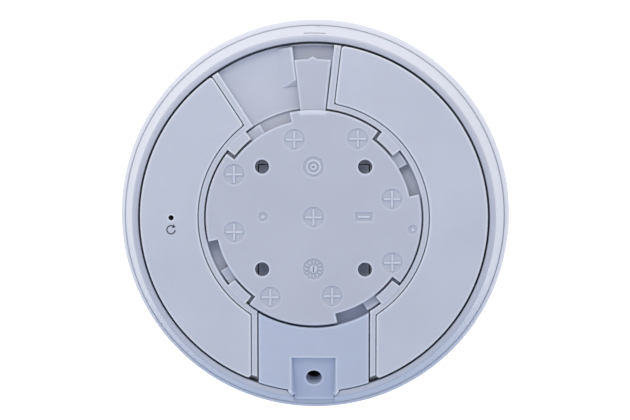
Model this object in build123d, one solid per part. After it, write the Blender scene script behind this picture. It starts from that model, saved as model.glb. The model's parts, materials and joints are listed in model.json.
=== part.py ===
from build123d import *
import os
from math import cos, radians, sin, tan

# Round wall-mounted alarm siren, in millimetres.
# The wall is the plane y = 0 and +Y points into the room, so the back of the siren faces -Y.
# +Z is up. The origin is the middle of the wall plate's wall face.
# Depths are distances from the wall. Angles are measured in X and Z, from +X towards +Z.

# Overall sizes
WIDEST_RADIUS = 60.0
WIDEST_DEPTH = 19.0
SEAM_RADIUS = 58.2
SEAM_DEPTH = 11.4
SEAM_GAP = 0.4
SEAM_STEP = 0.3
APEX_DEPTH = 38.0
CORNER_RADIUS = 51.0
CORNER_DEPTH = 34.6
RIM_INNER_RADIUS = 53.05
RIM_CHAMFER = 0.15
RIM_RADIUS = 54.9
RIM_DEPTH = 1.2
SKIN = 2.2

# Wall plate
PLATE_RADIUS = 32.5
PLATE_THICKNESS = 3.6
SCREW_SPACING = 31.0
WALL_SCREW_RADIUS = 2.15
WALL_SCREW_HEAD_RADIUS = 4.2
NOTCH_RADIUS = 29.55
NOTCH_START = 12.7
NOTCH_LEDGE_START = 30.0
NOTCH_END = 53.5
LEDGE_DEPTH = 2.45
MARK_RADIUS = 2.95
MARK_DEPTH = 0.35
MARK_SLOPE = 42.0
MARK_ARM = 5.1
MARK_RIB = 0.65
MARK_RIB_BACK = 0.05
INNER_MARKS = (24.3, (13.6, 103.7, 190.2, 283.4))
OUTER_MARKS = (27.3, (60.9, 151.3, 241.5, 330.5))
LARGE_MARK_Z = 15.4
SMALL_MARK_X = 15.2

# Bayonet lugs of the rear housing, in the locked position
LUG_START = 38.3
LUG_END = 51.6
LUG_RADIUS = 30.3
LUG_BACK = 0.95
LUG_FRONT = 2.15

# Latch tongue
TONGUE_START = 83.7
TONGUE_END = 97.0
TONGUE_ROOT = 31.6
TONGUE_TIP = 47.8
TONGUE_PEAK = 48.6
TONGUE_BACK = 0.8
TONGUE_FRONT = 2.4
TONGUE_CLEARANCE = 0.3

# Rear housing
RING_RADIUS = 33.0
BAND_DEPTH = 1.1
BAND_WIDTH = 2.15
COVER_GAP = 0.15
DECK_DEPTH = 4.4
DECK_THICKNESS = 1.6
RECESS_DEPTH = 5.2
HOUSING_RADIUS = 52.4
DOOR_BAND_RADIUS = 51.3
FLANGE_RADIUS = 55.2
FLANGE_INNER_RADIUS = 50.5
FLANGE_THICKNESS = 1.5
LIP_INNER_RADIUS = 53.8
CHANNEL_START = 83.2
CHANNEL_END = 123.3
RIB_ANGLES = (18, 52, 68, 132, 164, 196, 230, 310, 342)
WEDGE_ANGLE = 97.2
WEDGE_CREST_DEPTH = 2.75
WEDGE_START = 40.0
WEDGE_END = 51.8
WEDGE_WIDTH = 4.9
WEDGE_LEAD_REACH = 5.6
POCKET_START = 45.5
POCKET_FLOOR = 5.6
POCKET_WALL = 1.2
POCKET_EDGE = 0.45

# Rear covers
COVER_BACK = 0.5
COVER_THICKNESS = 1.6
COVER_INNER_RADIUS = 35.0
LOWER_EDGE_X = 19.0

# Battery door and the recess around the power socket
DOOR_HALF_WIDTH = 16.65
DOOR_BACK = 0.7
DOOR_THICKNESS = 1.4
DOOR_TOP_Z = 15.8
DOOR_OPENING_HALF_WIDTH = 17.0
DOOR_SLOPE = 20.0
SOCKET_RECESS_TOP_Z = -42.4
SOCKET_RECESS_HALF_WIDTH = 6.7
SOCKET_RECESS_START_DEPTH = 2.3
SOCKET_RECESS_DRAFT = 9.0
SOCKET_RECESS_WALL = 1.05
SOCKET_RECESS_SPACE_DEPTH = 10.0
SOCKET_HOLE_Z = -49.0
SOCKET_HOLE_RADIUS = 2.45
DOOR_RADIUS = 52.75
SOCKET_BORE_LENGTH = 5.0

# Battery compartment with three AAA cells
CELL_RADIUS = 5.2
CELL_LENGTH = 44.3
CELL_PITCH = 10.7
CELL_DEPTH = 12.6
CELL_MIDDLE_Z = -9.9
CELL_SHIFT = 1.4
SPRING_HEIGHT = 3.2
BOX_HALF_WIDTH = 16.2
BOX_BOTTOM_Z = -34.6
BOX_TOP_Z = 14.8
BOX_FLOOR_DEPTH = 18.0
BOX_WALL = 1.1

# Case screws and board
POST_ANGLES = (35.0, 150.0, 215.0, 325.0)
POST_CIRCLE = 44.0
POST_RADIUS = 3.3
BOARD_DEPTH = 20.5
BOARD_THICKNESS = 1.6
BOARD_RADIUS = 48.0
BOARD_SCREW_CIRCLE = 30.0
BOARD_SCREW_ANGLES = (45, 135, 225, 315)

# Switches
RESET_X = -43.0
RESET_HOLE_RADIUS = 0.8
TAMPER_X = -22.5
TAMPER_Z = 8.0
SWITCH_SIDE = 6.0
SWITCH_HEIGHT = 3.2
GUIDE_END = 12.0

# Light ring and sounder
LIGHT_RING_RADIUS = 41.5
LIGHT_RING_WIDTH = 3.0
LIGHT_GROOVE = 1.2
LIGHT_COUNT = 8
SOUNDER_RADIUS = 20.0
SOUNDER_BACK = 23.2
SOUNDER_PIN_X = (-8.0, 8.0)
SOUNDER_FRONT = 33.4
SLOT_WIDTH = 1.6


def wall_view(depth):
    """Drawing plane at a depth, with X to the right and Z up as seen from the wall."""
    return Plane(origin=(0, depth, 0), x_dir=(1, 0, 0), z_dir=(0, -1, 0))


def slab(outline, back, front):
    """Solid with an outline drawn in X and Z, between two depths."""
    return extrude(wall_view(front) * outline, amount=front - back)


def polar(radius, angle):
    """Point in X and Z."""
    return (radius * cos(radians(angle)), radius * sin(radians(angle)))


def pie(start, end, reach=90.0):
    """Wedge-shaped outline from the centre, for spans up to 90 degrees."""
    corners = [polar(reach, angle) for angle in (start, (start + end) / 2, end)]
    return make_face(Polyline((0, 0), *corners, close=True))


def sector(inner, outer, start, end):
    """Part of a flat ring."""
    return (Circle(outer) - Circle(inner)) & pie(start, end)


def block(x_range, z_range):
    """Rectangle given by its ranges in X and Z."""
    width = x_range[1] - x_range[0]
    height = z_range[1] - z_range[0]
    return Pos(x_range[0] + width / 2, z_range[0] + height / 2) * Rectangle(width, height)


def strip(angle, offset, width, inner, outer):
    """Bar along the radius at an angle, set off sideways towards larger angles."""
    length = outer - inner
    bar = Pos(inner + length / 2, offset + width / 2) * Rectangle(length, width)
    return Rot(0, 0, angle) * bar


def edges_at(solid, depth):
    """Edges that lie in the plane at a depth."""
    return solid.edges().filter_by_position(Axis.Y, depth - 0.01, depth + 0.01)


def fuse(shapes):
    """Join a list of shapes into one."""
    joined = shapes[0]
    for shape in shapes[1:]:
        joined = joined + shape
    return joined


def peg(radius, back, front, x, z):
    """Round pin or hole along Y."""
    return slab(Pos(x, z) * Circle(radius), back, front)


def wall_screw_places():
    half = SCREW_SPACING / 2
    return [(x, z) for x in (-half, half) for z in (-half, half)]


# ---------------------------------------------------------------- wall plate

def cross_mark(x, z):
    """Cross that stands in a round recess, where the mould's ejector pin pushed."""
    cross = Rectangle(MARK_ARM, MARK_RIB) + Rectangle(MARK_RIB, MARK_ARM)
    return Pos(x, z) * Circle(MARK_RADIUS), Pos(x, z) * cross


def ring_mark():
    """Round recess with two raised rings."""
    rings = Circle(2.3) - Circle(1.7) + (Circle(0.95) - Circle(0.35))
    return Pos(0, LARGE_MARK_Z) * Circle(MARK_RADIUS), Pos(0, LARGE_MARK_Z) * rings


def dial_mark():
    """Round recess with twelve raised ticks around a slotted knob."""
    knob = Circle(1.1) - Rectangle(0.35, 1.7)
    ticks = [Rot(0, 0, 30 * k) * Pos(2.2, 0) * Rectangle(1.1, 0.35) for k in range(12)]
    return Pos(0, -LARGE_MARK_Z) * Circle(MARK_RADIUS), Pos(0, -LARGE_MARK_Z) * fuse([knob, *ticks])


def small_marks():
    """Shallow recesses near the middle and the edge: two with a dot in them and one with a bar."""
    dot = Pos(-SMALL_MARK_X, 0.3)
    bar = Pos(SMALL_MARK_X, 0.4)
    edge_dot = Pos(29.9, -3.5)
    return [(dot * Circle(1.25), dot * Circle(0.55)),
            (bar * Rectangle(4.8, 2.3), bar * Rectangle(3.6, 0.7)),
            (edge_dot * Circle(1.25), edge_dot * Circle(0.5))]


def plate_marks():
    """Every moulded mark, as pairs of a recess outline and the outline that stands in it."""
    marks = [cross_mark(0, 0.2), ring_mark(), dial_mark(), *small_marks()]
    for radius, angles in (INNER_MARKS, OUTER_MARKS):
        marks += [cross_mark(*polar(radius, angle)) for angle in angles]
    return marks


def tongue_slot():
    """Slot in the edge of the plate that the root of the tongue grows out of."""
    root = TONGUE_ROOT - TONGUE_CLEARANCE
    opening = sector(root, PLATE_RADIUS + 1, TONGUE_START - 0.5, TONGUE_END + 0.5)
    return slab(opening, TONGUE_BACK - TONGUE_CLEARANCE / 2, TONGUE_FRONT + TONGUE_CLEARANCE)


def wall_plate():
    disc = slab(Circle(PLATE_RADIUS), 0, PLATE_THICKNESS)
    disc = chamfer(edges_at(disc, 0), 0.3)
    for turn in (0, 90, 180, 270):
        notch = sector(NOTCH_RADIUS, PLATE_RADIUS + 1, NOTCH_START + turn, NOTCH_END + turn)
        entry = sector(NOTCH_RADIUS, PLATE_RADIUS + 1, NOTCH_START + turn, NOTCH_LEDGE_START + turn)
        disc = disc - slab(notch, -1, LEDGE_DEPTH) - slab(entry, -1, PLATE_THICKNESS + 1)
    hollow = Circle(19.5) - Circle(5.0)
    bosses = fuse([Pos(x, z) * Circle(5.4) for x, z in wall_screw_places()])
    disc = disc - slab(hollow - bosses, 2.0, PLATE_THICKNESS + 1)
    disc = disc - tongue_slot()
    for recess, relief in plate_marks():
        sunk = extrude(wall_view(MARK_DEPTH) * recess, amount=MARK_DEPTH, taper=-MARK_SLOPE)
        disc = disc - (sunk - slab(relief, MARK_RIB_BACK, MARK_DEPTH))
    for x, z in wall_screw_places():
        disc = disc - peg(WALL_SCREW_RADIUS, -1, PLATE_THICKNESS + 1, x, z)
        disc = disc - peg(WALL_SCREW_HEAD_RADIUS, 2.2, PLATE_THICKNESS + 1, x, z)
    return disc


def latch_tongue():
    """Springy finger of the wall plate, with a small peak in the middle of its tip."""
    middle = (TONGUE_START + TONGUE_END) / 2
    blade = sector(TONGUE_ROOT, TONGUE_TIP, TONGUE_START, TONGUE_END)
    base = TONGUE_TIP - 0.4
    peak = make_face(Polyline(polar(base, middle - 2.6), polar(TONGUE_PEAK, middle),
                              polar(base, middle + 2.6), close=True))
    tongue = slab(blade + peak, TONGUE_BACK, TONGUE_FRONT)
    return chamfer(edges_at(tongue, TONGUE_BACK), 0.2)


# -------------------------------------------------------------- rear housing

def cover_outline(side):
    """C-shaped outline of a rear cover: side is 1 for +X and -1 for -X."""
    ring = Circle(HOUSING_RADIUS) - Circle(COVER_INNER_RADIUS)
    offset = BAND_WIDTH + COVER_GAP
    if side > 0:
        half_plane = strip(CHANNEL_START, -offset - 150, 150, -90, 90)
        lower_cut = block((-90, LOWER_EDGE_X), (-90, 0))
    else:
        half_plane = strip(CHANNEL_END, offset, 150, -90, 90)
        lower_cut = block((-LOWER_EDGE_X, 90), (-90, 0))
    outline = (ring & half_plane) - lower_cut
    return fillet(outline.vertices(), 0.9)


def hook_places(side):
    """Middles of a rear cover's snap hooks."""
    angles = (62.0, 8.0, 308.0) if side > 0 else (138.0, 172.0, 232.0)
    return [polar(39.0, angle) for angle in angles]


def rear_cover(side):
    cover = slab(cover_outline(side), COVER_BACK, COVER_BACK + COVER_THICKNESS)
    cover = fillet(edges_at(cover, COVER_BACK), 0.3)
    inside = COVER_BACK + COVER_THICKNESS - 0.1
    for x, z in hook_places(side):
        stem = slab(Pos(x, z) * Rectangle(3.6, 1.2), inside, DECK_DEPTH + DECK_THICKNESS + 1.6)
        barb = slab(Pos(x, z) * Rectangle(3.6, 2.2), DECK_DEPTH + DECK_THICKNESS + 0.2,
                    DECK_DEPTH + DECK_THICKNESS + 1.0)
        cover = cover + stem + barb
    if side < 0:
        cover = cover - peg(RESET_HOLE_RADIUS, -1, DECK_DEPTH, RESET_X, 0)
    return cover


def door_opening(low_z, high_z):
    """Outline of the opening for the battery door, between two heights."""
    return block((-DOOR_OPENING_HALF_WIDTH, DOOR_OPENING_HALF_WIDTH), (low_z, high_z))


def ring_wall():
    """Wall around the wall plate, open at the channel and at the battery door."""
    ring = Circle(COVER_INNER_RADIUS - COVER_GAP) - Circle(RING_RADIUS)
    ring = ring - pie(CHANNEL_START, CHANNEL_END) - door_opening(-60, 0)
    return slab(ring, BAND_DEPTH, DECK_DEPTH + DECK_THICKNESS)


def channel_bands():
    """Walls on both sides of the channel."""
    inner = RING_RADIUS + 0.5
    bands = strip(CHANNEL_START, -BAND_WIDTH, BAND_WIDTH, inner, HOUSING_RADIUS)
    bands = bands + strip(CHANNEL_END, 0, BAND_WIDTH, inner, HOUSING_RADIUS)
    return slab(bands & Circle(HOUSING_RADIUS), BAND_DEPTH, DECK_DEPTH + DECK_THICKNESS)


def door_bands():
    """Walls on both sides of the battery door, which stop short of the rim."""
    reach = LOWER_EDGE_X - COVER_GAP
    bands = block((-reach, reach), (-60, -20)) - door_opening(-60, 0)
    bands = bands & (Circle(DOOR_BAND_RADIUS) - Circle(RING_RADIUS + 0.7))
    return slab(bands, BAND_DEPTH, DECK_DEPTH + DECK_THICKNESS)


def wedge():
    """Latch wedge: a steep side next to the tongue, a ramp on the other side and a sloping lower end."""
    floor = DECK_DEPTH + 0.1
    section = make_face(Polyline((0, floor), (0, WEDGE_CREST_DEPTH), (-WEDGE_WIDTH, floor), close=True))
    ramp = Pos(0, 0, WEDGE_START) * extrude(Plane.XY * section, amount=WEDGE_END - WEDGE_START)
    before = WEDGE_START - 1
    lead = make_face(Polyline((before, floor + 0.5), (before, 0), (WEDGE_START + WEDGE_LEAD_REACH, 0),
                              close=True))
    lead_plane = Plane(origin=(2, 0, 0), x_dir=(0, 0, 1), z_dir=(-1, 0, 0))
    cut = extrude(lead_plane * lead, amount=WEDGE_WIDTH + 3)
    return Rot(0, 90 - WEDGE_ANGLE, 0) * (ramp - cut)


def pocket_cup():
    """Thicker patch of the deck that the shallow pocket beyond the tip of the tongue is cut into."""
    outer = sector(POCKET_START - POCKET_WALL, HOUSING_RADIUS, CHANNEL_START - 1.2, WEDGE_ANGLE + 1.2)
    return slab(outer, DECK_DEPTH + DECK_THICKNESS - 0.5, POCKET_FLOOR + POCKET_WALL)


def battery_box():
    outer_x = BOX_HALF_WIDTH + BOX_WALL
    shell = block((-outer_x, outer_x), (BOX_BOTTOM_Z - BOX_WALL, BOX_TOP_Z + BOX_WALL))
    return slab(shell, RECESS_DEPTH + 0.5, BOX_FLOOR_DEPTH + BOX_WALL)


def rear_housing():
    deck_front = DECK_DEPTH + DECK_THICKNESS
    recess_front = RECESS_DEPTH + DECK_THICKNESS
    flange_front = deck_front + FLANGE_THICKNESS
    body = slab(Circle(HOUSING_RADIUS) - Circle(RING_RADIUS), DECK_DEPTH, deck_front)
    body = body + slab(Circle(RING_RADIUS + 2), RECESS_DEPTH, recess_front)
    body = body + slab(Circle(FLANGE_RADIUS) - Circle(FLANGE_INNER_RADIUS), deck_front, flange_front)
    body = body + ring_wall()
    body = body + channel_bands()
    body = body + door_bands()
    body = chamfer(edges_at(body, BAND_DEPTH), 0.2)
    body = body + pocket_cup()
    body = body + battery_box()
    for turn in (0, 90, 180, 270):
        lug = sector(LUG_RADIUS, RING_RADIUS + 0.5, LUG_START + turn, LUG_END + turn)
        body = body + slab(lug, LUG_BACK, LUG_FRONT)
    for angle in RIB_ANGLES:
        body = body + slab(strip(angle, -0.6, 1.2, 35.5, 50.8), deck_front - 0.2, deck_front + 2.4)
    body = body + peg(3.0, deck_front - 0.2, GUIDE_END, RESET_X, 0)
    body = body + peg(3.0, recess_front - 0.2, GUIDE_END, TAMPER_X, TAMPER_Z)

    pocket = sector(POCKET_START, HOUSING_RADIUS - POCKET_EDGE, CHANNEL_START, WEDGE_ANGLE)
    body = body - slab(pocket, DECK_DEPTH - 0.01, POCKET_FLOOR)
    body = body + wedge()
    body = body - slab(door_opening(BOX_BOTTOM_Z - BOX_WALL, DOOR_TOP_Z + 0.3), 0, recess_front)
    body = body - slab(door_opening(-60, BOX_BOTTOM_Z - BOX_WALL), 0, flange_front + 1)
    cavity = block((-BOX_HALF_WIDTH, BOX_HALF_WIDTH), (BOX_BOTTOM_Z, BOX_TOP_Z))
    body = body - slab(cavity, 0, BOX_FLOOR_DEPTH)
    for angle in POST_ANGLES:
        body = body - peg(1.7, 0, 20, *polar(POST_CIRCLE, angle))
    for x, z in hook_places(1) + hook_places(-1):
        body = body - slab(Pos(x, z) * Rectangle(4.2, 2.6), DECK_DEPTH - 0.5, deck_front + 3)
    body = body - peg(1.3, 0, deck_front + 1, RESET_X, 0)
    body = body - peg(1.8, deck_front + 0.6, 20, RESET_X, 0)
    return body - peg(1.7, 0, 20, TAMPER_X, TAMPER_Z)


# --------------------------------------------------------------- battery door

def recess_plane():
    """Plane of the sloping recess floor: X across, local Y up the slope, local Z out towards the wall."""
    depth = SOCKET_RECESS_START_DEPTH + (SOCKET_RECESS_TOP_Z - SOCKET_HOLE_Z) * tan(radians(DOOR_SLOPE))
    out = (0, -cos(radians(DOOR_SLOPE)), -sin(radians(DOOR_SLOPE)))
    return Plane(origin=(0, depth, SOCKET_HOLE_Z), x_dir=(1, 0, 0), z_dir=out)


def along_slope(z):
    """Distance up the sloping floor from the socket hole to a height."""
    return (z - SOCKET_HOLE_Z) / cos(radians(DOOR_SLOPE))


def sloped_block(half_width, low_z, high_z, outward, inward):
    """Block on the sloping floor, from a distance behind it to a distance in front of it."""
    low = along_slope(low_z)
    high = along_slope(high_z)
    outline = block((-half_width, half_width), (low, high))
    return extrude(recess_plane() * Pos(0, 0, -inward) * outline, amount=outward + inward)


def recess_walls():
    """Side and top walls of the socket recess and its floor; the walls narrow into the notch of the rim."""
    reach = SOCKET_RECESS_HALF_WIDTH + SOCKET_RECESS_WALL
    top = SOCKET_RECESS_TOP_Z + SOCKET_RECESS_WALL
    outline = make_face(Polyline((-reach, top), (-reach, -52.65), (-6.5, -54.2), (6.5, -54.2),
                                 (reach, -52.65), (reach, top), close=True))
    return slab(outline, DOOR_BACK, 8.0) - sloped_block(20, -70, -30, -1.2, 20)


def recess_space():
    """Open space of the socket recess, with walls that lean outwards, above its sloping floor."""
    lean = (SOCKET_RECESS_SPACE_DEPTH - DOOR_BACK) * tan(radians(SOCKET_RECESS_DRAFT))
    half = SOCKET_RECESS_HALF_WIDTH - lean
    outline = block((-half, half), (-60, SOCKET_RECESS_TOP_Z - lean))
    space = extrude(wall_view(SOCKET_RECESS_SPACE_DEPTH) * outline, amount=SOCKET_RECESS_SPACE_DEPTH + 1,
                    taper=-SOCKET_RECESS_DRAFT)
    return space & sloped_block(20, -70, -30, 20, 0)


def battery_door():
    front = RECESS_DEPTH + DOOR_THICKNESS
    span = (-DOOR_HALF_WIDTH, DOOR_HALF_WIDTH)
    outside = block(span, (-60, -20)) & (Circle(DOOR_RADIUS) - Circle(RING_RADIUS + 0.25))
    door = slab(outside, DOOR_BACK, DOOR_BACK + DOOR_THICKNESS)
    door = chamfer(edges_at(door, DOOR_BACK), 0.25)
    step = block(span, (-60, -20)) & (Circle(RING_RADIUS + 1.65) - Circle(RING_RADIUS + 0.25))
    door = door + slab(step, DOOR_BACK + 0.5, front)
    inner = block(span, (-60, DOOR_TOP_Z)) & Circle(RING_RADIUS + 1.65)
    door = door + slab(inner, RECESS_DEPTH, front)
    for side in (-1, 1):
        skirt = Pos(side * (DOOR_HALF_WIDTH - 0.7), 0) * block((-0.7, 0.7), (-48.5, -30))
        door = door + slab(skirt & Circle(HOUSING_RADIUS - 1), DOOR_BACK + 0.5, DECK_DEPTH)
    door = door + recess_walls()
    door = door - recess_space()
    door = door + sloped_block(6.05, -55.9, -50.0, 0, 1.2)
    plane = recess_plane()
    door = door + extrude(plane * Circle(3.6), amount=-SOCKET_BORE_LENGTH)
    bore = extrude(plane * Pos(0, 0, 2) * Circle(SOCKET_HOLE_RADIUS), amount=-SOCKET_BORE_LENGTH - 4)
    return door - bore


# ----------------------------------------------------------------- outer shells

def turned(outline):
    """Solid of revolution about the Y axis, from an outline of radius and depth."""
    return revolve(Plane.XY * outline, axis=Axis.Y)


def side_shell():
    """Flaring ring around the back, with a flat rim and a rounded edge."""
    lip_front = DECK_DEPTH + DECK_THICKNESS - 0.2
    slope = (SEAM_RADIUS - RIM_RADIUS) / (SEAM_DEPTH - RIM_DEPTH)
    lip_outer = RIM_RADIUS + slope * lip_front + 0.8 - SKIN
    outline = Polyline((RIM_INNER_RADIUS, RIM_DEPTH + RIM_CHAMFER),
                       (RIM_INNER_RADIUS + RIM_CHAMFER, RIM_DEPTH),
                       (RIM_RADIUS - 0.1, RIM_DEPTH), (SEAM_RADIUS - SEAM_STEP, SEAM_DEPTH),
                       (SEAM_RADIUS - 2.0, SEAM_DEPTH), (lip_outer, lip_front),
                       (RIM_INNER_RADIUS, lip_front), close=True)
    profile = make_face(outline)
    ridge = profile.vertices().sort_by_distance(Vector(RIM_RADIUS - 0.1, RIM_DEPTH, 0))[0]
    shell = turned(fillet(ridge, 0.9))
    shell = shell - slab(block((-3.0, 3.5), (40, 70)), 3.3, 4.3)
    notch = make_face(Polyline((-8.0, -50), (-8.0, -52.6), (-6.25, -54.7), (-6.25, -70), (6.25, -70),
                               (6.25, -54.7), (8.0, -52.6), (8.0, -50), close=True))
    cut = slab(notch, -1, 12) & sloped_block(20, -75, -30, 20, 1.4)
    pry_notch = Pos(1.1, SEAM_DEPTH, SEAM_RADIUS) * Cylinder(0.6, 4)
    return shell - cut - pry_notch


def dome():
    """Whole outer form of the front cover, solid."""
    start = (SEAM_RADIUS + 0.05, SEAM_DEPTH + SEAM_GAP)
    side = Spline(start, (WIDEST_RADIUS, WIDEST_DEPTH), (CORNER_RADIUS + 5.2, CORNER_DEPTH - 5.0),
                  (CORNER_RADIUS, CORNER_DEPTH - 1.0), tangents=((0.34, 0.94), (-1, 0.22)))
    face = Spline((CORNER_RADIUS, CORNER_DEPTH - 1.0), (0, APEX_DEPTH), tangents=((-1, 0.22), (-1, 0)))
    close = Polyline((0, APEX_DEPTH), (0, SEAM_DEPTH + SEAM_GAP), start)
    return turned(make_face(side + face + close))


def hollow():
    """Space inside the front cover."""
    start = (SEAM_RADIUS - SKIN, SEAM_DEPTH - 1)
    widest = WIDEST_RADIUS - SKIN
    side = Spline(start, (widest, WIDEST_DEPTH), (CORNER_RADIUS + 3.2, CORNER_DEPTH - 5.9),
                  (CORNER_RADIUS - 1.4, CORNER_DEPTH - 3.0), tangents=((0.34, 0.94), (-1, 0.22)))
    face = Spline((CORNER_RADIUS - 1.4, CORNER_DEPTH - 3.0), (0, APEX_DEPTH - SKIN),
                  tangents=((-1, 0.22), (-1, 0)))
    close = Polyline((0, APEX_DEPTH - SKIN), (0, SEAM_DEPTH - 1), start)
    return turned(make_face(side + face + close))


def light_ring_band(clearance):
    """Outline of the light ring, or of its groove when the clearance is more than zero."""
    half = LIGHT_RING_WIDTH / 2 + clearance
    return Circle(LIGHT_RING_RADIUS + half) - Circle(LIGHT_RING_RADIUS - half)


def light_places():
    return [polar(LIGHT_RING_RADIUS, 22.5 + 360 / LIGHT_COUNT * k) for k in range(LIGHT_COUNT)]


def sound_slots():
    """Three rings of curved slots over the sounder."""
    slots = []
    for radius, count in ((5.5, 4), (9.5, 6), (13.5, 8)):
        step = 360 / count
        slots += [sector(radius - SLOT_WIDTH / 2, radius + SLOT_WIDTH / 2, k * step + 9, (k + 1) * step - 9)
                  for k in range(count)]
    return slab(fuse(slots), APEX_DEPTH - 6, APEX_DEPTH + 1)


def front_cover():
    inside = hollow()
    cover = dome() - inside
    posts = []
    post_back = DECK_DEPTH + DECK_THICKNESS + 0.3
    for angle in POST_ANGLES:
        posts.append(peg(POST_RADIUS, post_back, APEX_DEPTH, *polar(POST_CIRCLE, angle)))
    for angle in BOARD_SCREW_ANGLES:
        posts.append(peg(2.6, BOARD_DEPTH + BOARD_THICKNESS, APEX_DEPTH, *polar(BOARD_SCREW_CIRCLE, angle)))
    inside_all = inside + slab(Circle(50), 0, SEAM_DEPTH)
    cover = cover + [post & inside_all for post in posts]
    lip_back = DECK_DEPTH + DECK_THICKNESS + FLANGE_THICKNESS + 0.2
    lip = slab(Circle(FLANGE_RADIUS) - Circle(LIP_INNER_RADIUS), lip_back, SEAM_DEPTH + 1.2)
    bridge = slab(Circle(SEAM_RADIUS - 1) - Circle(LIP_INNER_RADIUS), SEAM_DEPTH + SEAM_GAP, SEAM_DEPTH + 1.4)
    lip = lip - slab(block((-9, 9), (-60, -40)), 0, SEAM_DEPTH + SEAM_GAP)
    cover = cover + lip + bridge
    groove_floor = APEX_DEPTH - 2.0 - LIGHT_GROOVE
    cover = cover - slab(light_ring_band(0.1), groove_floor, APEX_DEPTH + 1) - sound_slots()
    for x, z in light_places():
        cover = cover - peg(1.6, 25, APEX_DEPTH, x, z)
    for angle in POST_ANGLES:
        cover = cover - peg(1.25, 0, 19, *polar(POST_CIRCLE, angle))
    for angle in BOARD_SCREW_ANGLES:
        cover = cover - peg(1.0, 0, 30, *polar(BOARD_SCREW_CIRCLE, angle))
    return cover


def light_ring():
    groove_floor = APEX_DEPTH - 2.0 - LIGHT_GROOVE
    ring = dome() & slab(light_ring_band(0), groove_floor + 0.05, APEX_DEPTH + 1)
    legs = [peg(1.4, 24.0, groove_floor + 0.5, x, z) for x, z in light_places()]
    return ring + fuse(legs)


# ------------------------------------------------------------------- electronics

def circuit_board():
    board = slab(Circle(BOARD_RADIUS), BOARD_DEPTH, BOARD_DEPTH + BOARD_THICKNESS)
    for angle in POST_ANGLES:
        board = board - peg(4.1, 0, 40, *polar(POST_CIRCLE + 0.5, angle))
    for angle in BOARD_SCREW_ANGLES:
        board = board - peg(1.25, 0, 40, *polar(BOARD_SCREW_CIRCLE, angle))
    for x in SOUNDER_PIN_X:
        board = board - peg(0.6, 0, 40, x, 0)
    return board


def on_board(x, z, width, height, thickness, front=True):
    """Component body that stands on the room side or the wall side of the board."""
    back = BOARD_DEPTH + BOARD_THICKNESS if front else BOARD_DEPTH - thickness
    return slab(Pos(x, z) * Rectangle(width, height), back, back + thickness)


def screw(head_radius, head_height, shank_radius, length, head_back, x, z):
    """Pan-head screw driven from the wall side, with a cross recess."""
    head = peg(head_radius, head_back, head_back + head_height, x, z)
    head = chamfer(edges_at(head, head_back), 0.3)
    shank = peg(shank_radius, head_back + head_height - 0.1, head_back + head_height + length, x, z)
    cross = Rectangle(head_radius * 1.3, 0.6) + Rectangle(0.6, head_radius * 1.3)
    return head + shank - slab(Pos(x, z) * cross, head_back - 1, head_back + head_height * 0.5)


def case_screws():
    back = DECK_DEPTH - 1.8
    return [screw(2.75, 1.8, 1.2, 13.0, back, *polar(POST_CIRCLE, angle)) for angle in POST_ANGLES]


def board_screws():
    back = BOARD_DEPTH - 1.5
    places = [polar(BOARD_SCREW_CIRCLE, angle) for angle in BOARD_SCREW_ANGLES]
    return [screw(2.2, 1.5, 0.95, 7.5, back, x, z) for x, z in places]


def status_leds():
    return [on_board(x, z, 3.0, 3.0, 1.4) for x, z in light_places()]


def sounder_cup():
    cup = slab(Circle(SOUNDER_RADIUS), SOUNDER_BACK, SOUNDER_FRONT - 1.4)
    cup = cup - slab(Circle(SOUNDER_RADIUS - 1.5), SOUNDER_BACK + 1.5, SOUNDER_FRONT)
    seat = slab(Circle(SOUNDER_RADIUS - 1.4) - Circle(16.5), SOUNDER_BACK + 1.4, SOUNDER_BACK + 4.0)
    return cup + seat


def piezo_disc():
    plate = slab(Circle(18.0), SOUNDER_BACK + 4.05, SOUNDER_BACK + 4.45)
    return plate + slab(Circle(12.5), SOUNDER_BACK + 4.4, SOUNDER_BACK + 4.9)


def sounder_cap():
    cap = slab(Circle(SOUNDER_RADIUS), SOUNDER_FRONT - 1.35, SOUNDER_FRONT)
    return cap - slab(Circle(5.5), SOUNDER_FRONT - 3, SOUNDER_FRONT + 1)


def sounder_pins():
    return [peg(0.5, BOARD_DEPTH - 1.2, SOUNDER_BACK - 0.02, x, 0) for x in SOUNDER_PIN_X]


def foam_ring():
    return slab(Circle(SOUNDER_RADIUS - 0.5) - Circle(16.6), SOUNDER_FRONT + 0.05, 35.0)


def grille_mesh():
    return slab(Circle(18.0), 35.05, 35.3)


def radio_module():
    base = on_board(31.0, 0, 13.0, 16.0, 0.8)
    can = slab(Pos(31.0, -1.5) * Rectangle(11.0, 11.0), BOARD_DEPTH + BOARD_THICKNESS + 0.7,
               BOARD_DEPTH + BOARD_THICKNESS + 3.0)
    return base + can


def main_chip():
    return on_board(-30.5, 6.0, 7.0, 7.0, 1.0)


def driver_coil():
    """Step-up coil that drives the sounder: a flanged bobbin."""
    base = BOARD_DEPTH + BOARD_THICKNESS
    core = peg(3.0, base, base + 7.0, -29.0, -8.0)
    flanges = peg(4.5, base, base + 1.2, -29.0, -8.0) + peg(4.5, base + 5.8, base + 7.0, -29.0, -8.0)
    winding = peg(4.0, base + 1.1, base + 5.9, -29.0, -8.0)
    return core + flanges + winding


def capacitors():
    base = BOARD_DEPTH + BOARD_THICKNESS
    return [peg(2.9, base, base + 8.0, x, 27.0) for x in (-7.0, 7.0)]


def switch_body(x, z):
    """Small push switch on the wall side of the board."""
    return on_board(x, z, SWITCH_SIDE, SWITCH_SIDE, SWITCH_HEIGHT, front=False)


def reset_button():
    """Plunger reached with a pin through the small hole in the rear cover."""
    stem = peg(1.45, 7.6, BOARD_DEPTH - SWITCH_HEIGHT - 0.6, RESET_X, 0)
    collar = peg(2.4, GUIDE_END + 0.4, GUIDE_END + 1.4, RESET_X, 0)
    return stem + collar


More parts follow.
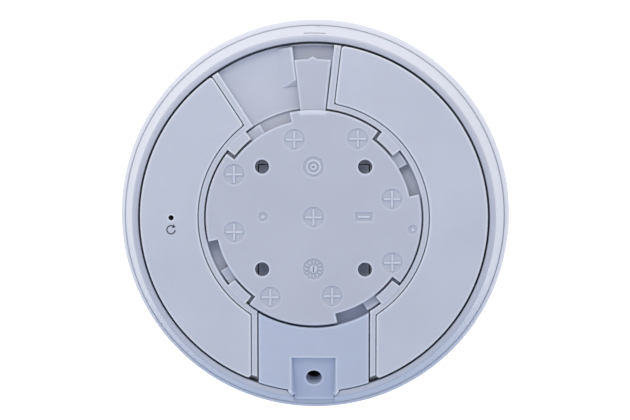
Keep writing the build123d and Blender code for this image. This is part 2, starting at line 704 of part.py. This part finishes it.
def tamper_plunger():
    """Pin that the wall plate holds down while the siren is on the wall."""
    stem = peg(1.4, PLATE_THICKNESS + 0.15, BOARD_DEPTH - SWITCH_HEIGHT - 0.6, TAMPER_X, TAMPER_Z)
    collar = peg(2.4, GUIDE_END + 0.4, GUIDE_END + 1.4, TAMPER_X, TAMPER_Z)
    return stem + collar


def dc_jack():
    plane = recess_plane()
    gap = SOCKET_BORE_LENGTH + 0.3
    body = extrude(plane * Pos(0, 0, -gap) * Rectangle(9.0, 9.0), amount=-9.3)
    return body - extrude(plane * Pos(0, 0, -gap + 1) * Circle(2.2), amount=-9.0)


def jack_pin():
    plane = recess_plane() * Pos(0, 0, -SOCKET_BORE_LENGTH - 8.2)
    return extrude(plane * Circle(0.65), amount=7.0)


def cell_way(column):
    """1 where a cell's button points up, -1 for the middle cell, which points down."""
    return -1 if column == 0 else 1


def battery(column):
    """AAA cell with its button end."""
    can_length = CELL_LENGTH - 1.2
    can = Cylinder(CELL_RADIUS, can_length)
    can = fillet(can.edges(), 0.5)
    cell = can + Pos(0, 0, can_length / 2 + 0.5) * Cylinder(1.9, 1.4)
    way = cell_way(column)
    if way < 0:
        cell = Rot(180, 0, 0) * cell
    return Pos(column * CELL_PITCH, CELL_DEPTH, CELL_MIDDLE_Z + way * CELL_SHIFT) * cell


def battery_springs():
    """Coil spring at the flat end of each cell."""
    wire = 0.3
    path = Helix(pitch=1.05, height=SPRING_HEIGHT, radius=3.2)
    coil = sweep(Plane(origin=path @ 0, z_dir=path % 0) * Circle(wire), path=path)
    springs = []
    for column in (-1, 0, 1):
        way = cell_way(column)
        flat_end = CELL_MIDDLE_Z + way * (CELL_SHIFT - (CELL_LENGTH - 1.2) / 2)
        spring = Rot(180, 0, 0) * coil if way > 0 else coil
        springs.append(Pos(column * CELL_PITCH, CELL_DEPTH, flat_end - way * (wire + 0.05)) * spring)
    return springs


def battery_plates():
    """Sheet contacts at both ends of the compartment."""
    plates = []
    for z in (BOX_BOTTOM_Z + 0.1, BOX_TOP_Z - 0.5):
        for x_range in ((-15.6, -5.7), (-5.1, 15.6)) if z < 0 else ((-15.6, 5.1), (5.7, 15.6)):
            plates.append(slab(block(x_range, (z, z + 0.4)), 8.0, 17.5))
    return plates


NODES = {
    "wall_plate": wall_plate,
    "latch_tongue": latch_tongue,
    "rear_housing": rear_housing,
    "rear_cover_left": lambda: rear_cover(-1),
    "rear_cover_right": lambda: rear_cover(1),
    "battery_door": battery_door,
    "side_shell": side_shell,
    "front_cover": front_cover,
    "light_ring": light_ring,
    "grille_mesh": grille_mesh,
    "foam_ring": foam_ring,
    "sounder_cup": sounder_cup,
    "piezo_disc": piezo_disc,
    "sounder_cap": sounder_cap,
    "sounder_pins": sounder_pins,
    "circuit_board": circuit_board,
    "case_screws": case_screws,
    "board_screws": board_screws,
    "status_leds": status_leds,
    "radio_module": radio_module,
    "main_chip": main_chip,
    "driver_coil": driver_coil,
    "capacitors": capacitors,
    "reset_switch": lambda: switch_body(RESET_X, 0),
    "reset_button": reset_button,
    "tamper_switch": lambda: switch_body(TAMPER_X, TAMPER_Z),
    "tamper_plunger": tamper_plunger,
    "dc_jack": dc_jack,
    "jack_pin": jack_pin,
    "battery_left": lambda: battery(-1),
    "battery_middle": lambda: battery(0),
    "battery_right": lambda: battery(1),
    "battery_springs": battery_springs,
    "battery_plates": battery_plates,
}

os.makedirs("parts", exist_ok=True)
for name, make in NODES.items():
    shape = make()
    if isinstance(shape, list):
        shape = Compound(children=shape)
    export_step(shape, f"parts/{name}.step")
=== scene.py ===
import json
import math

import bmesh
import bpy
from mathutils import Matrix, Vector


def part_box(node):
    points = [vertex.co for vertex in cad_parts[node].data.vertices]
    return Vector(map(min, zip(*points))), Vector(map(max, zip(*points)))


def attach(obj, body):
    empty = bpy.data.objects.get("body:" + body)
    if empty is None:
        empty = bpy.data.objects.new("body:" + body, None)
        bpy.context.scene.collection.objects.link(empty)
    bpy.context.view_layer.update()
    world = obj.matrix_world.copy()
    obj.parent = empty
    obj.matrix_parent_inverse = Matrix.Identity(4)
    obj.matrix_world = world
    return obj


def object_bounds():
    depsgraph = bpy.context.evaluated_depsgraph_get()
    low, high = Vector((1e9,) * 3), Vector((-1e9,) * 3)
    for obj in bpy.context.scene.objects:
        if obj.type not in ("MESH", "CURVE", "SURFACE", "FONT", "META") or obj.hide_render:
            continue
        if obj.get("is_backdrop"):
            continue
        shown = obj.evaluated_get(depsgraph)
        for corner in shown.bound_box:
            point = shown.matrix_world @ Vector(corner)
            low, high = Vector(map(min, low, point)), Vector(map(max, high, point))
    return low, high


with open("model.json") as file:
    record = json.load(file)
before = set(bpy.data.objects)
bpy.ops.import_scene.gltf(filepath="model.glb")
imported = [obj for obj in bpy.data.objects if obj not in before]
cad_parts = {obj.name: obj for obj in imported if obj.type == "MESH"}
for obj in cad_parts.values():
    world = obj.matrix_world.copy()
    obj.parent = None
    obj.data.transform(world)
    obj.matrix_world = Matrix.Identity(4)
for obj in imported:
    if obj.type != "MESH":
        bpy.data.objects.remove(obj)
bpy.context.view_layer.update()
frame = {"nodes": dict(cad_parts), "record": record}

# Camera: the back of the siren, looked at from slightly above and slightly to the right
CAMERA_DISTANCE = 0.65
CAMERA_AZIMUTH = 1.4
CAMERA_ELEVATION = 4.0
LENS = 123.5
SENSOR = 36.0
CLIP_NEAR = 0.01
CLIP_FAR = 50.0
AIM = Vector((0.00045, 0.0, 0.00248))

# Floor: far below the siren, and transparent from a share of its size outwards
FLOOR_DROP = 0.50
FLOOR_SIZE = 2.2
FLOOR_CELLS = 12
FLOOR_FADE_SHARE = 0.45

# Tent of light: the side of the camera, and the side behind the siren
TENT_FRONT = (0.46, 0.46, 0.49)
TENT_BACK = (1.46, 1.46, 1.48)

# Area lights, which all shine at the origin: name, place, size and watts
LIGHTS = (
    ("top_light", (0.15, -0.35, 0.80), (0.7, 0.5), 0.10),
    ("near_light", (-0.06, -0.32, 0.24), (0.20, 0.16), 0.36),
)

# Reset sign, printed under the pinhole
SIGN_X = -0.0430
SIGN_Z = -0.0036
SIGN_RADIUS = 0.00125
SIGN_LINE = 0.00034
SIGN_START = 65.0
SIGN_SWEEP = 290.0
SIGN_STEPS = 48
ARROW_HALF_WIDTH = 0.00062
ARROW_LENGTH = 0.0009
INK_LIFT = 0.00004
INK_THICKNESS = 0.9 * INK_LIFT

# Colours of the plastics
PLATE_COLOR = (0.612, 0.637, 0.720)
HOUSING_COLOR = (0.666, 0.691, 0.779)
COVER_COLOR = (0.662, 0.692, 0.784)
DOOR_COLOR = (0.583, 0.637, 0.779)
PLUNGER_COLOR = (0.60, 0.61, 0.65)
SHELL_COLOR = (0.610, 0.640, 0.735)

# Painted shade: what is left of a colour in a corner, and deep in a gap
CORNER_SHADE_TINT = (0.42, 0.50, 0.64)
GAP_SHADE_TINT = (0.02, 0.025, 0.05)

# How far a moulded edge is rounded off, and how far in from it a painted highlight reaches, how strong
# and how pale it is
EDGE_RADIUS = 0.0003
RIDGE_REACH = 0.0009
RIDGE_HIGHLIGHT_STRENGTH = 0.95
RIDGE_HIGHLIGHT = 1.36

NOISE_MIDDLE = (0.3, 0.7)   # most values of a noise lie between these
FULL = (0.0, 1.0)
EDGE_RAYS = 6               # rays of a bevel or an occlusion node

# Sockets of a mix node that mixes colours
MIX_FIRST = 6
MIX_SECOND = 7
MIX_RESULT = 2


# ------------------------------------------------------------------ node tools

class Nodes:
    """Short calls for building a node tree."""

    def __init__(self, tree):
        self.tree = tree

    def add(self, kind, **settings):
        node = self.tree.nodes.new(kind)
        for key, value in settings.items():
            setattr(node, key, value)
        return node

    def link(self, source, target):
        self.tree.links.new(source, target)

    def fill(self, node, **values):
        """Set inputs of a node by name, where an underscore stands for a space."""
        for key, value in values.items():
            node.inputs[key.replace("_", " ")].default_value = value
        return node

    def component(self, vector, name):
        node = self.add("ShaderNodeSeparateXYZ")
        self.link(vector, node.inputs[0])
        return node.outputs[name]

    def math(self, operation, first, second):
        """The operation on a socket and either a second socket or a number."""
        node = self.add("ShaderNodeMath", operation=operation)
        self.link(first, node.inputs[0])
        if isinstance(second, float):
            node.inputs[1].default_value = second
        else:
            self.link(second, node.inputs[1])
        return node.outputs[0]

    def spread(self, value, source, target):
        """Carry the source range of a value over to the target range, clamped at both ends."""
        node = self.add("ShaderNodeMapRange")
        self.link(value, node.inputs["Value"])
        self.fill(node, From_Min=source[0], From_Max=source[1])
        self.fill(node, To_Min=target[0], To_Max=target[1])
        return node.outputs["Result"]

    def mix(self, factor, first, second):
        """Mix two colours, each of them a socket or a tuple."""
        node = self.add("ShaderNodeMix", data_type="RGBA")
        self.link(factor, node.inputs["Factor"])
        for index, value in ((MIX_FIRST, first), (MIX_SECOND, second)):
            if isinstance(value, tuple):
                node.inputs[index].default_value = (*value, 1.0)
            else:
                self.link(value, node.inputs[index])
        return node.outputs[MIX_RESULT]

    def fade(self, value, source, first, second, share=1.0):
        """From the first colour at one end of the source range to a share of the second."""
        return self.mix(self.spread(value, source, (0.0, share)), first, second)


class Material(Nodes):
    """A new material, with textures placed in metres in the part's own frame."""

    def __init__(self, name):
        self.material = bpy.data.materials.new(name)
        self.material.use_nodes = True
        super().__init__(self.material.node_tree)
        self.tree.nodes.clear()
        output = self.add("ShaderNodeOutputMaterial")
        self.shader = self.add("ShaderNodeBsdfPrincipled")
        self.link(self.shader.outputs[0], output.inputs["Surface"])
        self.place = self.add("ShaderNodeTexCoord").outputs["Object"]

    def mapped(self, **values):
        """The place, turned by Rotation or stretched by Scale."""
        node = self.fill(self.add("ShaderNodeMapping"), **values)
        self.link(self.place, node.inputs["Vector"])
        return node.outputs["Vector"]

    def noise(self, scale, detail=3.0, roughness=0.5, stretch=None):
        node = self.add("ShaderNodeTexNoise")
        self.fill(node, Scale=scale, Detail=detail, Roughness=roughness)
        place = self.mapped(Scale=stretch) if stretch else self.place
        self.link(place, node.inputs["Vector"])
        return node.outputs["Fac"]

    def cells(self, scale):
        """Distance from the nearest of many scattered points."""
        node = self.fill(self.add("ShaderNodeTexVoronoi"), Scale=scale)
        self.link(self.place, node.inputs["Vector"])
        return node.outputs["Distance"]

    def rounded(self, radius):
        """Normal that turns smoothly over each edge, within a radius of it."""
        node = self.fill(self.add("ShaderNodeBevel", samples=EDGE_RAYS), Radius=radius)
        return node.outputs[0]

    def edge_mask(self, rounded):
        """0 on flat ground, up to 1 where the rounded normal leaves the real one."""
        real = self.add("ShaderNodeNewGeometry")
        dot = self.add("ShaderNodeVectorMath", operation="DOT_PRODUCT")
        self.link(rounded, dot.inputs[0])
        self.link(real.outputs["Normal"], dot.inputs[1])
        return self.spread(dot.outputs["Value"], (0.995, 0.85), FULL)

    def openness(self, reach, inside=False):
        """1 in the open, less where something is within reach; or the same inside the solid."""
        node = self.add("ShaderNodeAmbientOcclusion", samples=EDGE_RAYS, inside=inside)
        self.fill(node, Distance=reach)
        return node.outputs["AO"]

    def ridge_mask(self, reach):
        """Up to 1 where the solid is thin or ends in an outer edge within reach, 0 elsewhere."""
        return self.spread(self.openness(reach, inside=True), (0.93, 0.66), FULL)

    def painted_shade(self, tone, color, reach, gap_strength):
        """Tone with soft bluish painted shade in its corners and nearly black painted shade deep in
        its gaps.
        """
        openness = self.openness(reach)
        corner = self.spread(openness, (0.40, 0.95), (0.25, 0.0))
        gap = self.spread(openness, (0.12, 0.46), (gap_strength, 0.0))
        corner_shaded = self.mix(corner, tone, tint(color, CORNER_SHADE_TINT))
        return self.mix(gap, corner_shaded, tint(color, GAP_SHADE_TINT))

    def bump(self, height, strength, depth, normal=None):
        node = self.fill(self.add("ShaderNodeBump"), Strength=strength, Distance=depth)
        self.link(height, node.inputs["Height"])
        if normal is not None:
            self.link(normal, node.inputs["Normal"])
        return node.outputs[0]

    def surface(self, color, roughness, normal):
        """Finish the material with these three sockets."""
        self.link(color, self.shader.inputs["Base Color"])
        self.link(roughness, self.shader.inputs["Roughness"])
        self.link(normal, self.shader.inputs["Normal"])
        return self.material


def shade(color, factor):
    return tuple(min(1.0, channel * factor) for channel in color)


def tint(color, factors):
    return tuple(channel * factor for channel, factor in zip(color, factors))


# ------------------------------------------------------------------- materials

def moulded_plastic(name, color, grain=0.6):
    """Injection-moulded ABS: faint flow mottle, fine grain, painted highlight on ridges, painted shade
    in its corners and gaps.
    """
    n = Material(name)
    flow = n.noise(scale=45.0, detail=4.0, roughness=0.55)
    speck = n.noise(scale=900.0, detail=2.0, roughness=0.6)
    fine = n.noise(scale=5200.0, detail=3.0, roughness=0.65)
    tone = n.fade(flow, NOISE_MIDDLE, shade(color, 0.965), shade(color, 1.025))
    tone = n.fade(speck, (0.62, 0.74), tone, shade(color, 0.90), share=0.22)
    # painted highlight: thin parts and outer edges are made paler
    ridge_highlight = n.math("MULTIPLY", n.ridge_mask(RIDGE_REACH), RIDGE_HIGHLIGHT_STRENGTH)
    tone = n.mix(ridge_highlight, tone, shade(color, RIDGE_HIGHLIGHT))
    # painted shade: corners turn darker and bluish, deep gaps nearly black
    tone = n.painted_shade(tone, color, reach=0.0016, gap_strength=1.0)
    roughness = n.spread(flow, (0.25, 0.75), (0.37, 0.48))
    normal = n.bump(fine, strength=grain, depth=0.000018, normal=n.rounded(EDGE_RADIUS))
    n.fill(n.shader, Specular_IOR_Level=0.42)
    n.fill(n.shader, Subsurface_Weight=0.06, Subsurface_Scale=0.0012)
    return n.surface(tone, roughness, normal)


def shell_plastic(name, color):
    """Smoother, slightly glossy outer shell: faint streaks, painted highlight on edges, a little
    painted shade in its gaps.
    """
    n = Material(name)
    flow = n.noise(scale=30.0, detail=4.0, roughness=0.5)
    streak = n.noise(scale=260.0, detail=3.0, roughness=0.6, stretch=(1.0, 7.0, 1.0))
    fine = n.noise(scale=4200.0, detail=2.0, roughness=0.5)
    tone = n.fade(flow, NOISE_MIDDLE, shade(color, 0.975), shade(color, 1.015))
    tone = n.fade(streak, (0.6, 0.8), tone, shade(color, 0.93), share=0.25)
    rounded = n.rounded(EDGE_RADIUS)
    # painted highlight: edges are made paler
    edge = n.math("MULTIPLY", n.edge_mask(rounded), 0.6)
    tone = n.mix(edge, tone, shade(color, 1.1))
    # painted shade: corners turn darker and bluish, gaps darker
    tone = n.painted_shade(tone, color, reach=0.0020, gap_strength=0.45)
    roughness = n.spread(streak, NOISE_MIDDLE, (0.30, 0.40))
    normal = n.bump(fine, strength=0.35, depth=0.00001, normal=rounded)
    n.fill(n.shader, Specular_IOR_Level=0.5, Coat_Weight=0.12, Coat_Roughness=0.18)
    n.fill(n.shader, Subsurface_Weight=0.05, Subsurface_Scale=0.0015)
    return n.surface(tone, roughness, normal)


def black_plastic(name):
    """Matt black plastic with dark grey edges."""
    n = Material(name)
    flow = n.noise(scale=120.0)
    grain = n.noise(scale=3800.0, detail=3.0, roughness=0.6)
    tone = n.fade(flow, NOISE_MIDDLE, (0.018, 0.018, 0.021), (0.034, 0.034, 0.038))
    rounded = n.rounded(0.0002)
    edge = n.math("MULTIPLY", n.edge_mask(rounded), 0.7)
    tone = n.mix(edge, tone, (0.11, 0.11, 0.12))
    roughness = n.spread(flow, NOISE_MIDDLE, (0.42, 0.58))
    normal = n.bump(grain, strength=0.6, depth=0.00002, normal=rounded)
    return n.surface(tone, roughness, normal)


def metal(name, bright, dark, rough, stretch):
    """Plated or drawn metal with fine lines along one direction, stains and brighter edges."""
    n = Material(name)
    lines = n.noise(scale=900.0, detail=4.0, roughness=0.7, stretch=stretch)
    stain = n.noise(scale=140.0, detail=3.0, roughness=0.6)
    tone = n.fade(stain, NOISE_MIDDLE, dark, bright)
    tone = n.fade(lines, (0.4, 0.7), tone, shade(bright, 0.8), share=0.35)
    rounded = n.rounded(0.00015)
    edge = n.math("MULTIPLY", n.edge_mask(rounded), 0.5)
    tone = n.mix(edge, tone, shade(bright, 1.15))
    roughness = n.spread(lines, NOISE_MIDDLE, (rough - 0.08, rough + 0.1))
    normal = n.bump(lines, strength=0.4, depth=0.00002, normal=rounded)
    n.fill(n.shader, Metallic=1.0)
    return n.surface(tone, roughness, normal)


def foam(name):
    """Black open-cell foam with paler walls between its pores."""
    n = Material(name)
    pores = n.cells(scale=2600.0)
    soft = n.noise(scale=300.0)
    tone = n.fade(pores, (0.0, 0.6), (0.02, 0.02, 0.022), (0.085, 0.085, 0.09))
    roughness = n.spread(soft, NOISE_MIDDLE, (0.82, 0.95))
    return n.surface(tone, roughness, n.bump(pores, strength=0.8, depth=0.00015))


def circuit_board(name):
    """Green solder mask with a faint mottle, over copper tracks and pads."""
    n = Material(name)
    tracks = n.add("ShaderNodeTexBrick")
    n.fill(tracks, Scale=90.0, Mortar_Size=0.06, Mortar=(1.0, 1.0, 1.0, 1.0))
    n.fill(tracks, Color1=(0.0, 0.0, 0.0, 1.0), Color2=(0.0, 0.0, 0.0, 1.0))
    n.link(n.mapped(Rotation=(math.radians(90.0), 0.0, 0.0)), tracks.inputs["Vector"])
    routed = n.spread(n.noise(scale=70.0), (0.45, 0.5), FULL)
    line = n.math("MULTIPLY", tracks.outputs["Color"], routed)
    pads = n.spread(n.cells(scale=380.0), (0.11, 0.09), FULL)
    mottle = n.noise(scale=2200.0, detail=2.0, roughness=0.5)
    mask = n.fade(mottle, NOISE_MIDDLE, (0.008, 0.085, 0.040), (0.013, 0.115, 0.055))
    tone = n.mix(n.math("MULTIPLY", line, 0.6), mask, (0.03, 0.20, 0.09))
    tone = n.mix(pads, tone, (0.62, 0.60, 0.52))
    roughness = n.spread(mottle, NOISE_MIDDLE, (0.26, 0.4))
    return n.surface(tone, roughness, n.bump(line, strength=0.5, depth=0.00004))


def cell_wrap(name):
    """Shrink-wrapped battery: dark, with a copper-coloured upper end and pale scuffs."""
    n = Material(name)
    gloss = n.noise(scale=60.0, detail=3.0)
    scuff = n.noise(scale=700.0, detail=4.0, roughness=0.7, stretch=(1.0, 1.0, 0.15))
    upper_end = n.math("GREATER_THAN", n.component(n.place, "Z"), 0.002)
    wrap = n.fade(gloss, NOISE_MIDDLE, (0.035, 0.038, 0.045), (0.055, 0.058, 0.068))
    tone = n.mix(upper_end, wrap, (0.48, 0.22, 0.09))
    tone = n.fade(scuff, (0.62, 0.75), tone, (0.35, 0.35, 0.36), share=0.4)
    roughness = n.spread(scuff, NOISE_MIDDLE, (0.22, 0.4))
    n.fill(n.shader, Metallic=0.35, Coat_Weight=0.4, Coat_Roughness=0.12)
    return n.surface(tone, roughness, n.bump(scuff, strength=0.3, depth=0.00003))


def diffuser(name):
    """Milky light ring: translucent with fine frosting."""
    n = Material(name)
    cloud = n.noise(scale=80.0, detail=3.0)
    frost = n.noise(scale=6000.0, detail=2.0)
    tone = n.fade(cloud, NOISE_MIDDLE, (0.80, 0.82, 0.86), (0.90, 0.91, 0.93))
    roughness = n.spread(cloud, NOISE_MIDDLE, (0.35, 0.5))
    n.fill(n.shader, Subsurface_Weight=0.5, Subsurface_Scale=0.003, IOR=1.49)
    return n.surface(tone, roughness, n.bump(frost, strength=0.5, depth=0.00001))


def led_body(name):
    """Yellow phosphor in a lamp body whose edges are white."""
    n = Material(name)
    cloud = n.noise(scale=900.0, detail=2.0)
    tone = n.fade(cloud, (0.4, 0.6), (0.86, 0.80, 0.42), (0.92, 0.90, 0.78))
    roughness = n.spread(cloud, NOISE_MIDDLE, (0.2, 0.35))
    rounded = n.rounded(0.0002)
    tone = n.mix(n.edge_mask(rounded), tone, (0.93, 0.93, 0.93))
    return n.surface(tone, roughness, rounded)


def ink(name):
    """Pad-printed dark grey ink, slightly blotchy."""
    n = Material(name)
    blot = n.noise(scale=2500.0, detail=3.0)
    tone = n.fade(blot, (0.35, 0.7), (0.030, 0.030, 0.036), (0.085, 0.085, 0.10))
    roughness = n.spread(blot, NOISE_MIDDLE, (0.55, 0.7))
    return n.surface(tone, roughness, n.bump(blot, strength=0.3, depth=0.00001))


def floor_paint(name):
    """Pale matt floor whose edge fades away into the tent."""
    n = Material(name)
    cloud = n.noise(scale=3.0, detail=3.0)
    tone = n.fade(cloud, NOISE_MIDDLE, (0.49, 0.59, 0.76), (0.51, 0.61, 0.78))
    roughness = n.spread(cloud, NOISE_MIDDLE, (0.8, 0.9))
    distance = n.add("ShaderNodeVectorMath", operation="LENGTH")
    n.link(n.place, distance.inputs[0])
    fade_range = (FLOOR_FADE_SHARE * FLOOR_SIZE, FLOOR_SIZE)
    n.link(n.spread(distance.outputs["Value"], fade_range, (1.0, 0.0)), n.shader.inputs["Alpha"])
    return n.surface(tone, roughness, n.bump(cloud, strength=0.05, depth=0.0005))


MATERIALS = {
    "plate_plastic": moulded_plastic("plate_plastic", PLATE_COLOR),
    "housing_plastic": moulded_plastic("housing_plastic", HOUSING_COLOR),
    "cover_plastic": moulded_plastic("cover_plastic", COVER_COLOR, grain=0.5),
    "door_plastic": moulded_plastic("door_plastic", DOOR_COLOR, grain=0.5),
    "plunger_plastic": moulded_plastic("plunger_plastic", PLUNGER_COLOR),
    "shell_plastic": shell_plastic("shell_plastic", SHELL_COLOR),
    "diffuser": diffuser("diffuser"),
    "steel": metal("steel", (0.66, 0.66, 0.68), (0.48, 0.48, 0.50), 0.32, (1.0, 8.0, 1.0)),
    "brass": metal("brass", (0.80, 0.62, 0.30), (0.60, 0.44, 0.20), 0.30, (6.0, 1.0, 1.0)),
    "copper": metal("copper", (0.70, 0.34, 0.16), (0.46, 0.20, 0.09), 0.28, (1.0, 12.0, 1.0)),
    "foam": foam("foam"),
    "black_plastic": black_plastic("black_plastic"),
    "board": circuit_board("board"),
    "led_body": led_body("led_body"),
    "cell_can": cell_wrap("cell_can"),
}


def dress_cad_nodes():
    """Give every CAD node the material of its slot."""
    for part in frame["record"]["subparts"]:
        node = frame["nodes"][part["node"]]
        node.data.materials.clear()
        node.data.materials.append(MATERIALS[part["material_slot"]])


def mesh_object(name, bm, material):
    """Put a bmesh in the scene as a new object of one material."""
    mesh = bpy.data.meshes.new(name)
    bm.to_mesh(mesh)
    bm.free()
    mesh.materials.append(material)
    item = bpy.data.objects.new(name, mesh)
    bpy.context.scene.collection.objects.link(item)
    return item


# ---------------------------------------------------------------- printed mark

def reset_mark():
    """Generic reset sign printed under the pinhole: an open ring that ends in an arrow head."""
    face_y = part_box("rear_cover_left")[0].y
    centre = Vector((SIGN_X, face_y - INK_LIFT, SIGN_Z))
    start = math.radians(SIGN_START)
    sweep = math.radians(SIGN_SWEEP)
    bm = bmesh.new()
    inner, outer = [], []
    for k in range(SIGN_STEPS + 1):
        angle = start + sweep * k / SIGN_STEPS
        spoke = Vector((math.cos(angle), 0.0, math.sin(angle)))
        inner.append(bm.verts.new(centre + spoke * (SIGN_RADIUS - SIGN_LINE / 2)))
        outer.append(bm.verts.new(centre + spoke * (SIGN_RADIUS + SIGN_LINE / 2)))
    for k in range(SIGN_STEPS):
        bm.faces.new((inner[k], inner[k + 1], outer[k + 1], outer[k]))
    spoke = Vector((math.cos(start), 0.0, math.sin(start)))
    back = Vector((math.sin(start), 0.0, -math.cos(start)))
    arrow = (
        spoke * (SIGN_RADIUS - ARROW_HALF_WIDTH),
        spoke * (SIGN_RADIUS + ARROW_HALF_WIDTH),
        spoke * SIGN_RADIUS + back * ARROW_LENGTH,
    )
    bm.faces.new([bm.verts.new(centre + point) for point in arrow])
    solid = bmesh.ops.extrude_face_region(bm, geom=list(bm.faces))
    moved = [item for item in solid["geom"] if isinstance(item, bmesh.types.BMVert)]
    bmesh.ops.translate(bm, verts=moved, vec=(0.0, INK_THICKNESS, 0.0))
    bmesh.ops.recalc_face_normals(bm, faces=list(bm.faces))
    mark = mesh_object("reset_mark", bm, ink("ink"))
    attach(mark, "siren")


# ----------------------------------------------------------------------- stage

def stage():
    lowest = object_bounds()[0].z
    bm = bmesh.new()
    bmesh.ops.create_grid(bm, x_segments=FLOOR_CELLS, y_segments=FLOOR_CELLS, size=FLOOR_SIZE)
    floor = mesh_object("floor", bm, floor_paint("floor_paint"))
    floor.location = (0.0, 0.0, lowest - FLOOR_DROP)
    floor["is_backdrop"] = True


def area_light(name, place, size, power):
    """Rectangular lamp that shines at the origin and stays out of the picture."""
    light = bpy.data.lights.new(name, "AREA")
    light.shape = "RECTANGLE"
    light.size, light.size_y = size
    light.energy = power
    lamp = bpy.data.objects.new(name, light)
    lamp.location = place
    lamp.visible_camera = False
    lamp.rotation_euler = (-Vector(place)).to_track_quat("-Z", "Y").to_euler()
    bpy.context.scene.collection.objects.link(lamp)


def studio_world():
    """Soft tent: bright behind the siren, dimmer and cooler on the side that its back faces."""
    world = bpy.data.worlds.new("studio")
    bpy.context.scene.world = world
    world.use_nodes = True
    n = Nodes(world.node_tree)
    direction = n.add("ShaderNodeTexCoord").outputs["Generated"]
    tent = n.fade(n.component(direction, "Y"), (-1.0, 1.0), TENT_FRONT, TENT_BACK)
    n.link(tent, world.node_tree.nodes["Background"].inputs["Color"])


def camera():
    data = bpy.data.cameras.new("camera")
    data.lens = LENS
    data.sensor_width = SENSOR
    data.clip_start = CLIP_NEAR
    data.clip_end = CLIP_FAR
    view = bpy.data.objects.new("camera", data)
    azimuth = math.radians(CAMERA_AZIMUTH)
    elevation = math.radians(CAMERA_ELEVATION)
    level = math.cos(elevation)
    back = Vector((math.sin(azimuth) * level, -math.cos(azimuth) * level, math.sin(elevation)))
    view.location = AIM + back * CAMERA_DISTANCE
    view.rotation_euler = (-back).to_track_quat("-Z", "Y").to_euler()
    bpy.context.scene.collection.objects.link(view)
    bpy.context.scene.camera = view


def colour_management():
    settings = bpy.context.scene.view_settings
    settings.view_transform = "Standard"
    settings.look = "None"


camera()
dress_cad_nodes()
reset_mark()
stage()
for light_values in LIGHTS:
    area_light(*light_values)
studio_world()
colour_management()
